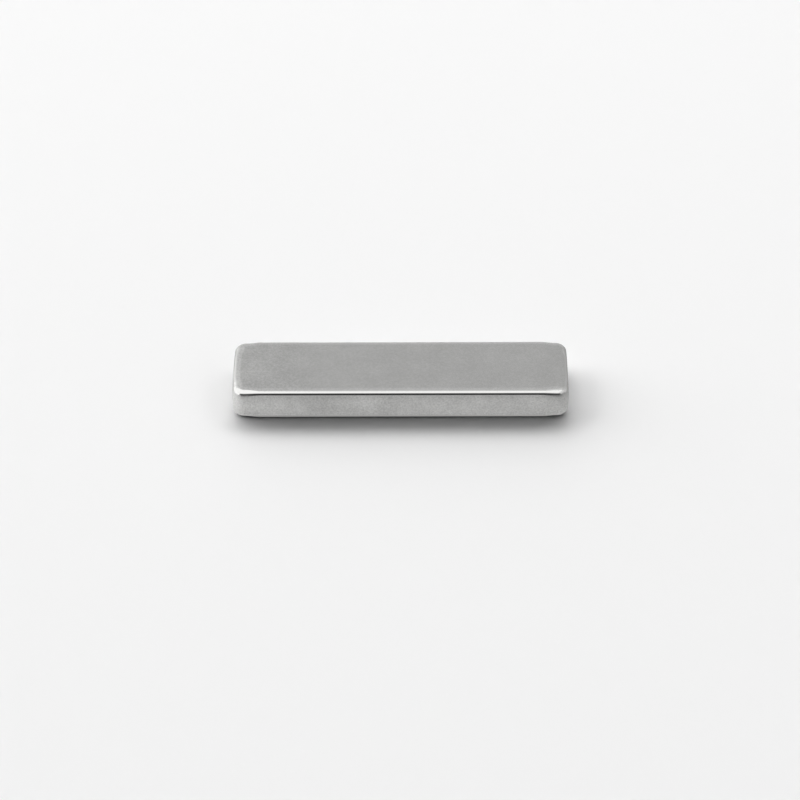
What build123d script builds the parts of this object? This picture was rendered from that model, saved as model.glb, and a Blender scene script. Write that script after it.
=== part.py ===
"""Block magnet: a small flat bar of sintered rare-earth magnet with a thin nickel plating.

The bar is pressed and sintered, ground flat on its two pole faces, and tumbled before it is
plated. Tumbling leaves no sharp line anywhere. It rolls the edges around both pole faces over to
a small radius, and it wears the corners the most, so there the edge is rounder and grows out of
the straight sides over a short run.

Units are millimetres. X runs along the bar, Y across it, and Z through its thickness, from one
pole face to the other. The origin is the middle of the lower pole face, so the bar lies on the
XY plane.
"""

import os

from build123d import *

# Overall size
length = 40.0
width = 10.0
thickness = 4.0

# Upright corners, seen from above
corner_radius = 1.4

# Rolled edge around each pole face: along the straight sides, and around the corners
edge_radius = 0.5
worn_edge_radius = 0.8

# Stretch of each straight side over which the edge grows from the one radius to the other, and
# the number of steps that shape it
wear_run = 1.8
wear_steps = 4

# The bar is alike on both sides of its three middle planes, so one eighth of it is shaped.
middle = Plane.XY.offset(thickness / 2)

# Centre of the upright corner
corner_x = length / 2 - corner_radius
corner_y = width / 2 - corner_radius


def across_side(x):
    """Section plane across the long side: its x points out of the wall and its y points up."""
    return Plane(origin=(x, width / 2, thickness), x_dir=(0, 1, 0), z_dir=(1, 0, 0))


def across_end(y):
    """Section plane across the end wall, turned the same way."""
    return Plane(origin=(length / 2, y, thickness), x_dir=(1, 0, 0), z_dir=(0, -1, 0))


def worn_section(plane, radius):
    """What tumbling takes off a sharp edge to leave it rolled over to this radius."""
    with BuildSketch(plane) as section:
        with BuildLine():
            rolled = JernArc(start=(-radius, 0), tangent=(1, 0), radius=radius, arc_size=-90)
            Polyline(rolled @ 1, (radius, -radius), (radius, radius), (-radius, radius), rolled @ 0)
        make_face()
    return section.sketch


def worn_radius(share):
    """Radius of the edge at a share of the wear run, level with its neighbours at both ends."""
    growth = share**2 * (3 - 2 * share)
    return edge_radius + (worn_edge_radius - edge_radius) * growth


shares = [step / wear_steps for step in range(wear_steps + 1)]


with BuildPart() as worn_away:
    # Long side: even from the middle of the bar, then growing up to the corner
    extrude(worn_section(across_side(0), edge_radius), amount=corner_x - wear_run)
    loft(
        [
            worn_section(across_side(corner_x - wear_run * (1 - share)), worn_radius(share))
            for share in shares
        ]
    )

    # Around the corner
    revolve(
        worn_section(across_side(corner_x), worn_edge_radius),
        axis=Axis((corner_x, corner_y, 0), (0, 0, -1)),
        revolution_arc=90,
    )

    # End wall: shrinking away from the corner, then even to the middle
    loft(
        [
            worn_section(across_end(corner_y - wear_run * (1 - share)), worn_radius(share))
            for share in shares
        ]
    )
    extrude(worn_section(across_end(corner_y - wear_run), edge_radius), amount=corner_y - wear_run)


with BuildPart() as magnet_block:
    # Ground blank, upper half of one quarter
    with BuildSketch(middle) as quarter:
        Rectangle(length / 2, width / 2, align=(Align.MIN, Align.MIN))
        fillet(quarter.vertices().sort_by_distance(middle.origin)[-1], corner_radius)
    extrude(amount=thickness / 2)

    # Tumbled edge
    add(worn_away.part, mode=Mode.SUBTRACT)

    # Lower half, and the other three quarters
    mirror(about=middle)
    mirror(about=Plane.XZ)
    mirror(about=Plane.YZ)

magnet_block.part.label = "magnet_block"

os.makedirs("parts", exist_ok=True)
export_step(magnet_block.part, "parts/magnet_block.step")

print("size", magnet_block.part.bounding_box().size)
print("volume", round(magnet_block.part.volume, 2), "mm3")
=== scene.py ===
from math import cos, radians, sin, tan

import bpy
from mathutils import Matrix, Vector


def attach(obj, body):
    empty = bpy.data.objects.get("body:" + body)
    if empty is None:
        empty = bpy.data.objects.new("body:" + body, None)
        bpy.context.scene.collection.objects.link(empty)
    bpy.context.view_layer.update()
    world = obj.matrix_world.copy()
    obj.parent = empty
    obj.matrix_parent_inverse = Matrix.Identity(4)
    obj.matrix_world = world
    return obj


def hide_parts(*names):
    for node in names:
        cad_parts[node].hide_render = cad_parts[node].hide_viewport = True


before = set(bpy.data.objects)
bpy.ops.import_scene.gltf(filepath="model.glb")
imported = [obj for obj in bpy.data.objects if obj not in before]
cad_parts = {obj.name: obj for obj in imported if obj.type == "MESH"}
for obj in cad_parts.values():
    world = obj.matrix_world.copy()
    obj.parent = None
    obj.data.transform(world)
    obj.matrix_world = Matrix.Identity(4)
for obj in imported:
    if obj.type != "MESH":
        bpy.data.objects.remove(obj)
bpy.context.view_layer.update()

# Everything is in metres, in the frame of the CAD model.
MM = 0.001

# The block, with the same sizes as its source
LENGTH = 40 * MM
WIDTH = 10 * MM
THICKNESS = 4 * MM
CORNER_RADIUS = 1.4 * MM
EDGE_RADIUS = 0.5 * MM
WORN_EDGE_RADIUS = 0.8 * MM
WEAR_RUN = 1.8 * MM

# Where the straight sides end and the upright corners begin
CORNER_X = LENGTH / 2 - CORNER_RADIUS
CORNER_Y = WIDTH / 2 - CORNER_RADIUS

# Facets around each upright corner and in the arc of the rolled edge, and steps over which that
# edge grows towards the corners
CORNER_FACETS = 16
ROLL_FACETS = 9
WEAR_STEPS = 16

# The pole faces fall away a little just before the rolled edge, in narrow rings, with these slopes
# from the edge inwards
CROWN_RING_WIDTH = 0.11 * MM
CROWN_SLOPES = (0.12, 0.11, 0.09, 0.04)

# Faces that meet at a greater angle than this keep a crisp edge between them
CRISP_ANGLE = radians(40)

# Lengths closer to each other than this are the same
SAME = 0.001 * MM


def deselect_all():
    if bpy.context.object and bpy.context.object.mode != "OBJECT":
        bpy.ops.object.mode_set(mode="OBJECT")
    bpy.ops.object.select_all(action="DESELECT")


def select_only(piece):
    deselect_all()
    piece.select_set(True)
    bpy.context.view_layer.objects.active = piece


def put_at_origin(piece):
    """Leaves the object at the origin, unturned and unscaled, with its place in its mesh."""
    select_only(piece)
    bpy.ops.object.transform_apply(location=True, rotation=True, scale=True)


def pick(piece, kind, test):
    """In edit mode, selects only the edges whose two ends, or the faces whose middle and normal,
    pass the test."""
    bpy.ops.object.mode_set(mode="EDIT")
    bpy.ops.mesh.select_mode(type=kind)
    bpy.ops.mesh.select_all(action="DESELECT")
    bpy.ops.object.mode_set(mode="OBJECT")
    if kind == "EDGE":
        ends = piece.data.vertices
        for edge in piece.data.edges:
            edge.select = test(*(ends[i].co for i in edge.vertices))
    else:
        for face in piece.data.polygons:
            face.select = test(face.center, face.normal)
    bpy.ops.object.mode_set(mode="EDIT")


def near(a, b):
    return abs(a - b) < SAME


def smooth_step(share):
    """Share of a change that sets in and ends gently, from 0 at 0 to 1 at 1."""
    share = min(max(share, 0.0), 1.0)
    return share * share * (3 - 2 * share)


def wear(point):
    """How worn the outline is at a point: 0 along the sides, 1 around the corners."""
    past_x, past_y = abs(point.x) - CORNER_X, abs(point.y) - CORNER_Y
    if near(abs(point.y), WIDTH / 2) and past_x <= 0:
        return smooth_step(1 + past_x / WEAR_RUN)
    if near(abs(point.x), LENGTH / 2) and past_y <= 0:
        return smooth_step(1 + past_y / WEAR_RUN)
    return 1.0


def rim_radius(start, end):
    """Radius of the rolled edge over one stretch of the outline. It has the corner's own radius
    on the last stretch before the corner, so that the two meet without a step."""
    least, most = sorted([wear(start), wear(end)])
    share = 1.0 if most > 0.9999 else least
    return EDGE_RADIUS + (WORN_EDGE_RADIUS - EDGE_RADIUS) * share


def make_block():
    """The plated block. It starts thinner than it ends by the height of both crowns."""
    deselect_all()
    bpy.ops.mesh.primitive_cube_add(size=1, location=(0, 0, THICKNESS / 2))
    block = bpy.context.object
    block.name = "plated_block"
    crown = sum(CROWN_SLOPES) * CROWN_RING_WIDTH
    block.scale = (LENGTH, WIDTH, THICKNESS - 2 * crown)
    put_at_origin(block)

    # Upright corners
    pick(block, "EDGE", lambda a, b: near(a.x, b.x) and near(a.y, b.y))
    bpy.ops.mesh.bevel(offset=CORNER_RADIUS, segments=CORNER_FACETS, affect="EDGES")

    # Upright cuts in the walls near the corners, so that the rolled edge can grow there
    for cut in range(WEAR_STEPS + 1):
        back = WEAR_RUN * cut / WEAR_STEPS
        for side in (-1, 1):
            for place, normal in (
                ((side * (CORNER_X - back), 0, 0), (1, 0, 0)),
                ((0, side * (CORNER_Y - back), 0), (0, 1, 0)),
            ):
                pick(block, "FACE", lambda middle, facing: abs(facing.z) < 0.5)
                bpy.ops.mesh.bisect(plane_co=place, plane_no=normal, threshold=1e-7)
    bpy.ops.object.mode_set(mode="OBJECT")

    # Rolled edges around both pole faces, heavier where they are worn
    weights = block.data.attributes.new("bevel_weight_edge", "FLOAT", "EDGE")
    ends = block.data.vertices
    for edge in block.data.edges:
        start, end = (ends[i].co for i in edge.vertices)
        if near(start.z, end.z):
            weights.data[edge.index].value = rim_radius(start, end) / WORN_EDGE_RADIUS
    rolled = block.modifiers.new("rolled_edges", "BEVEL")
    rolled.limit_method = "WEIGHT"
    rolled.width = WORN_EDGE_RADIUS
    rolled.segments = ROLL_FACETS
    rolled.loop_slide = False
    rolled.use_clamp_overlap = False
    select_only(block)
    bpy.ops.object.modifier_apply(modifier=rolled.name)

    # Crown of both pole faces
    for up in (-1, 1):
        pick(block, "FACE", lambda middle, facing: facing.z * up > 0.999999)
        for slope in CROWN_SLOPES:
            bpy.ops.mesh.inset(thickness=CROWN_RING_WIDTH)
            bpy.ops.transform.translate(value=(0, 0, up * slope * CROWN_RING_WIDTH))
        bpy.ops.mesh.inset(thickness=CROWN_RING_WIDTH)
    bpy.ops.object.mode_set(mode="OBJECT")

    # Shading that keeps the flat faces flat
    select_only(block)
    bpy.ops.object.shade_smooth_by_angle(angle=CRISP_ANGLE)
    even = block.modifiers.new("even_shading", "WEIGHTED_NORMAL")
    even.weight = 50
    even.keep_sharp = True
    bpy.ops.object.modifier_apply(modifier=even.name)
    return block


block = make_block()

# Materials


def new_material(name):
    """A material with nodes, and its node tree."""
    material = bpy.data.materials.new(name)
    material.use_nodes = True
    return material, material.node_tree


def node(tree, kind, inputs=(), **settings):
    """Adds a node, with its settings and its inputs: a number or colour, or the socket to link."""
    made = tree.nodes.new(kind)
    for key, value in settings.items():
        setattr(made, key, value)
    for key, value in dict(inputs).items():
        if isinstance(value, bpy.types.NodeSocket):
            tree.links.new(value, made.inputs[key])
        else:
            made.inputs[key].default_value = value
    return made


def ramp_between(tree, value, low, high, to_low=0.0, to_high=1.0):
    """Smooth change from one value to another while the input goes from low to high."""
    inputs = {
        "Value": value,
        "From Min": low,
        "From Max": high,
        "To Min": to_low,
        "To Max": to_high,
    }
    made = node(tree, "ShaderNodeMapRange", inputs, interpolation_type="SMOOTHSTEP")
    return made.outputs["Result"]


def calc(tree, operation, *values):
    """Result of a Math node, from numbers or sockets."""
    return node(tree, "ShaderNodeMath", dict(enumerate(values)), operation=operation).outputs[0]


def mottling(tree, place, size, detail):
    """Soft noise with spots of about this size, from -0.5 to 0.5."""
    inputs = {"Vector": place, "Scale": 1 / size, "Detail": detail, "Roughness": 0.5}
    return calc(tree, "SUBTRACT", node(tree, "ShaderNodeTexNoise", inputs).outputs[0], 0.5)


NICKEL = (0.62, 0.62, 0.61)

# Sizes of the three patterns in the plating
SPOT_SIZE = 0.28 * MM
CLOUD_SIZE = 3.2 * MM
GRAIN_SIZE = 0.17 * MM

# Heights above or below the middle of the block between which the tumbled edge passes into the
# pole face, and into the wall
INTO_POLE = 1.93 * MM, 1.965 * MM
INTO_WALL = 1.6 * MM, 1.4 * MM

# Roughness of the tumbled edge, and what it rises by on the pole faces and on the walls
EDGE_ROUGHNESS = 0.07
POLE_RISE = 0.13
WALL_RISE = 0.42


def make_nickel_plating():
    """Bright nickel: clear on the tumbled edges, faintly clouded on the ground pole faces, and
    satin with a fine grain on the walls."""
    nickel, tree = new_material("bright_nickel_plating")
    shader = tree.nodes["Principled BSDF"]
    place = node(tree, "ShaderNodeTexCoord").outputs["Object"]
    along = node(tree, "ShaderNodeSeparateXYZ", {"Vector": place})

    height = calc(tree, "ABSOLUTE", calc(tree, "SUBTRACT", along.outputs["Z"], THICKNESS / 2))
    pole = ramp_between(tree, height, *INTO_POLE)
    wall = ramp_between(tree, height, *INTO_WALL)

    # The plating is cloudier towards the left end, where the block is taken hold of
    handled = ramp_between(tree, along.outputs["X"], -9 * MM, -15 * MM, 1.0, 1.9)
    spots = mottling(tree, place, SPOT_SIZE, 3.0)
    clouds = mottling(tree, place, CLOUD_SIZE, 3.0)
    grain = mottling(tree, place, GRAIN_SIZE, 2.0)

    on_pole = calc(tree, "MULTIPLY_ADD", spots, 0.19, calc(tree, "MULTIPLY", clouds, 0.16))
    on_pole = calc(tree, "MULTIPLY", calc(tree, "MULTIPLY", on_pole, handled), pole)
    on_wall = calc(tree, "MULTIPLY_ADD", grain, 0.66, calc(tree, "MULTIPLY", clouds, 0.45))
    on_wall = calc(tree, "MULTIPLY", on_wall, wall)
    shade = calc(tree, "ADD", calc(tree, "ADD", on_pole, on_wall), 1.0)
    colour = node(
        tree,
        "ShaderNodeVectorMath",
        {0: NICKEL, "Scale": shade},
        operation="SCALE",
    )
    tree.links.new(colour.outputs[0], shader.inputs["Base Color"])

    rough = calc(tree, "MULTIPLY_ADD", pole, POLE_RISE, EDGE_ROUGHNESS)
    rough = calc(tree, "MULTIPLY_ADD", wall, WALL_RISE, rough)
    rough = calc(tree, "MULTIPLY_ADD", spots, 0.06, rough)
    tree.links.new(rough, shader.inputs["Roughness"])

    relief = calc(tree, "MULTIPLY_ADD", grain, wall, spots)
    bump = node(
        tree,
        "ShaderNodeBump",
        {"Height": relief, "Strength": 0.12, "Distance": 0.02 * MM},
    )
    tree.links.new(bump.outputs[0], shader.inputs["Normal"])
    shader.inputs["Metallic"].default_value = 1.0
    return nickel


block.data.materials.append(make_nickel_plating())

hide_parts("magnet_block")
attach(block, "root")

# Stage


def seen_first(tree):
    """1 for light that reaches the camera straight from the metal, 0 by way of the floor."""
    path = node(tree, "ShaderNodeLightPath")
    return calc(tree, "LESS_THAN", path.outputs["Diffuse Depth"], 0.5)


def light_up(panel, on, brightness, upper=None, onward=None, fade_from=-0.5):
    """Makes a plane glow. It shows on the metal, on the floor, or on the floor by way of the
    metal. Its brightness may change smoothly up to its upper edge, from the lower one or from a
    height between them, or onward from its edge of least bearing to the other."""
    glow, tree = new_material(panel.name)
    tree.nodes.clear()
    place = node(tree, "ShaderNodeTexCoord")
    along = node(tree, "ShaderNodeSeparateXYZ", {"Vector": place.outputs["Object"]})
    strength = brightness
    if upper is not None:
        strength = ramp_between(tree, along.outputs["Y"], fade_from, 0.5, brightness, upper)
    if onward is not None:
        strength = ramp_between(tree, along.outputs["X"], 0.5, -0.5, brightness, onward)
    if on == "floor by way of metal":
        strength = calc(tree, "MULTIPLY", strength, calc(tree, "SUBTRACT", 1.0, seen_first(tree)))
    light = node(tree, "ShaderNodeEmission", {"Strength": strength}).outputs[0]
    clear = node(tree, "ShaderNodeBsdfTransparent").outputs[0]
    if on == "metal":
        # Hides the panels behind it
        face = node(tree, "ShaderNodeMixShader", {0: seen_first(tree), 1: clear, 2: light})
    else:
        # Adds its light to that of the panels behind it
        face = node(tree, "ShaderNodeAddShader", {0: clear, 1: light})
    node(tree, "ShaderNodeOutputMaterial", {"Surface": face.outputs[0]})
    panel.data.materials.append(glow)
    panel.visible_camera = False
    panel.visible_shadow = False
    panel.visible_glossy = on != "floor"
    panel.visible_diffuse = on == "floor"


def card(
    name, bearing, height, wide, tall, *glow, distance=2.5, on="metal", centre=(0, 0, 0), **fade
):
    """A panel around the magnet, or around another centre, aimed at it. Bearing 0 is straight
    behind, 90 to the left and 180 in front; bearing, height, width and tallness are in degrees."""
    deselect_all()
    b, h = radians(bearing), radians(height)
    out = Vector((-sin(b) * cos(h), cos(b) * cos(h), sin(h)))
    bpy.ops.mesh.primitive_plane_add(size=1)
    panel = bpy.context.object
    panel.name = name
    panel.scale = (2 * distance * tan(radians(wide / 2)), 2 * distance * tan(radians(tall / 2)), 1)
    panel.rotation_euler = (-out).to_track_quat("Z", "Y").to_euler()
    panel.location = Vector(centre) + out * distance
    light_up(panel, on, *glow, **fade)


# Soft lights above and behind, which light the floor and cast the magnet's shadow: place, size,
# and brightness on the floor and by way of the metal
for name, *place, direct, thrown in (
    ("back_softbox", 11, 33, 45, 67, 2.54, 1.2),
    ("upper_softbox", -17, 49, 73, 16, 2.95, 1.4),
    ("left_softbox", 67, 22, 48, 55, 3.4, 3.4),
    ("right_softbox", -84, 37, 101, 35, 0.85, 0.85),
):
    card(name, *place, direct, on="floor")
    card(name + "_in_metal", *place, thrown, on="floor by way of metal")

# Pale walls and ceiling, which the metal mirrors
card("ceiling", 180, 66, 100, 56, 1.56, onward=1.34)
card("front_wall", 180, 18, 72, 52, 1.0, upper=1.3)
card("back_ceiling", 0, 65, 60, 38, 0.64, upper=0.98)
card("left_ceiling", 75, 60, 56, 50, 1.5, distance=2.3)
card("backdrop", -9, 36, 46, 22, 0.56)
card("low_backdrop", 0, 13, 56, 26, 0.7, onward=0.88)
card("left_backdrop", 28, 27, 36, 60, 0.72, onward=1.25, distance=2.4)
card("left_wall", 98, 0, 106, 100, 1.12, distance=2.2)
card("right_wall", -65, 30, 80, 60, 0.85, onward=0.58)
card("right_front_wall", -123, 30, 50, 50, 0.58, upper=1.12, distance=2.4)

# A white card close to the front left corner, which makes its white patch
FRONT_LEFT = (-19.6 * MM, -4.6 * MM, 3.6 * MM)
card("corner_card", 92, 22, 114, 46, 1.55, distance=3 * MM, centre=FRONT_LEFT)

# A dark strip close in front, which draws the dark line along the rolled front edge. It pales
# upwards, where the bright line begins.
STRIP_AHEAD = 1 * MM
STRIP_LEFT, STRIP_RIGHT = -20.1 * MM, 19.8 * MM
STRIP_LOW, STRIP_HIGH = 3.2 * MM, 4.92 * MM

deselect_all()
bpy.ops.mesh.primitive_plane_add(
    size=1,
    location=(
        (STRIP_LEFT + STRIP_RIGHT) / 2,
        -WIDTH / 2 - STRIP_AHEAD,
        (STRIP_LOW + STRIP_HIGH) / 2,
    ),
    rotation=(radians(90), 0, 0),
)
strip = bpy.context.object
strip.name = "dark_strip"
strip.scale = (STRIP_RIGHT - STRIP_LEFT, STRIP_HIGH - STRIP_LOW, 1)
light_up(strip, "metal", 0.05, upper=1.3, fade_from=0.02)


def mirrored_tone(tree):
    """How bright the floor looks in the metal: a painted reflection without the magnet's cast
    shadow, with painted shade to the right and close in front, and painted light beside the front
    corners.
    """
    place = node(tree, "ShaderNodeTexCoord")
    spot = node(tree, "ShaderNodeSeparateXYZ", {"Vector": place.outputs["Object"]})
    x, y = spot.outputs["X"], spot.outputs["Y"]

    # Paler to the left and behind
    left_part = ramp_between(tree, x, -12 * MM, -34 * MM, 0.84, 1.34)
    back_part = ramp_between(tree, y, 0, 6 * MM, 0.84, 1.02)
    tone = calc(tree, "MAXIMUM", left_part, back_part)

    # Painted shade: darker to the right and a little darker close to the front wall, where the
    # magnet's shadow falls, and dark far out in front
    painted_shade_right = ramp_between(tree, x, 19 * MM, 23 * MM, 1.0, 0.72)
    painted_shade_close = ramp_between(tree, y, -5.5 * MM, -9.5 * MM, 0.74, 1.0)
    front_part = ramp_between(tree, y, -19 * MM, -8.5 * MM, 0.06, 0.87)

    # Painted light: paler in a round spot beside each front corner
    aside = node(tree, "ShaderNodeCombineXYZ", {"X": calc(tree, "ABSOLUTE", x), "Y": y})
    off_spot = node(
        tree,
        "ShaderNodeVectorMath",
        {0: aside.outputs[0], 1: (22 * MM, -4 * MM, 0)},
        operation="DISTANCE",
    )
    painted_light_corner = ramp_between(tree, off_spot.outputs["Value"], 1.5 * MM, 4.5 * MM, 1.45, 1.0)

    for part in (painted_shade_right, painted_shade_close, front_part, painted_light_corner):
        tone = calc(tree, "MULTIPLY", tone, part)
    return calc(tree, "MULTIPLY", tone, seen_first(tree))


def make_floor():
    """A matte white floor, which glows with a painted reflection of itself where the metal mirrors
    it.
    """
    deselect_all()
    bpy.ops.mesh.primitive_plane_add(size=8)
    floor = bpy.context.object
    floor.name = "floor"
    white, tree = new_material("white_floor")
    paint = tree.nodes["Principled BSDF"]
    paint.inputs["Base Color"].default_value = (0.89, 0.89, 0.89, 1)
    paint.inputs["Roughness"].default_value = 0.6
    paint.inputs["Specular IOR Level"].default_value = 0.0
    floor.data.materials.append(white)

    # In the metal the floor shows as a glowing painted reflection, with painted shade and painted
    # light from mirrored_tone
    mirrored = node(tree, "ShaderNodeEmission", {"Strength": mirrored_tone(tree)})
    path = node(tree, "ShaderNodeLightPath")
    both = node(
        tree,
        "ShaderNodeMixShader",
        {0: path.outputs["Is Glossy Ray"], 1: paint.outputs[0], 2: mirrored.outputs[0]},
    )
    tree.links.new(both.outputs[0], tree.nodes["Material Output"].inputs["Surface"])
    return floor


floor = make_floor()

# The room beyond the floor: how it lights things, how the metal mirrors it, and how the camera
# sees it
world = bpy.data.worlds.new("studio")
bpy.context.scene.world = world
world.use_nodes = True
tree = world.node_tree
tree.nodes.clear()
path = node(tree, "ShaderNodeLightPath")
room = node(tree, "ShaderNodeBackground", {"Strength": 0.045})
dark = node(tree, "ShaderNodeBackground", {"Strength": 0.05})
pale = node(tree, "ShaderNodeBackground", {"Strength": 0.92})
lit = node(
    tree,
    "ShaderNodeMixShader",
    {0: path.outputs["Is Glossy Ray"], 1: room.outputs[0], 2: dark.outputs[0]},
)
seen = node(
    tree,
    "ShaderNodeMixShader",
    {0: path.outputs["Is Camera Ray"], 1: lit.outputs[0], 2: pale.outputs[0]},
)
node(tree, "ShaderNodeOutputWorld", {"Surface": seen.outputs[0]})

# Camera: its turn to the right, its tip down from level and its roll, its distance from the middle
# of the block, how far that middle lies aside and above its aim, and its focal length in mm
TURN, TIP, ROLL = radians(-0.56), radians(38.99), radians(0.47)
DISTANCE = 398 * MM
ASIDE, ABOVE = 0.092 * MM, 2.516 * MM
FOCAL = 149.27

level = Vector((sin(TURN), cos(TURN), 0))
right = Vector((cos(TURN), -sin(TURN), 0))
up = sin(TIP) * level + cos(TIP) * Vector((0, 0, 1))
away = cos(TIP) * level - sin(TIP) * Vector((0, 0, 1))
eye = Vector((0, 0, THICKNESS / 2)) - ASIDE * right - ABOVE * up - DISTANCE * away
camera_x = cos(ROLL) * right - sin(ROLL) * up
camera_y = sin(ROLL) * right + cos(ROLL) * up

lens = bpy.data.cameras.new("photo_camera")
lens.lens = FOCAL
lens.sensor_width = 36
lens.clip_start, lens.clip_end = 0.01, 20
camera = bpy.data.objects.new("photo_camera", lens)
bpy.context.scene.collection.objects.link(camera)
turned = Matrix((camera_x, camera_y, -away)).transposed().to_4x4()
camera.matrix_world = Matrix.Translation(eye) @ turned
bpy.context.scene.camera = camera

bpy.context.scene.view_settings.view_transform = "Standard"
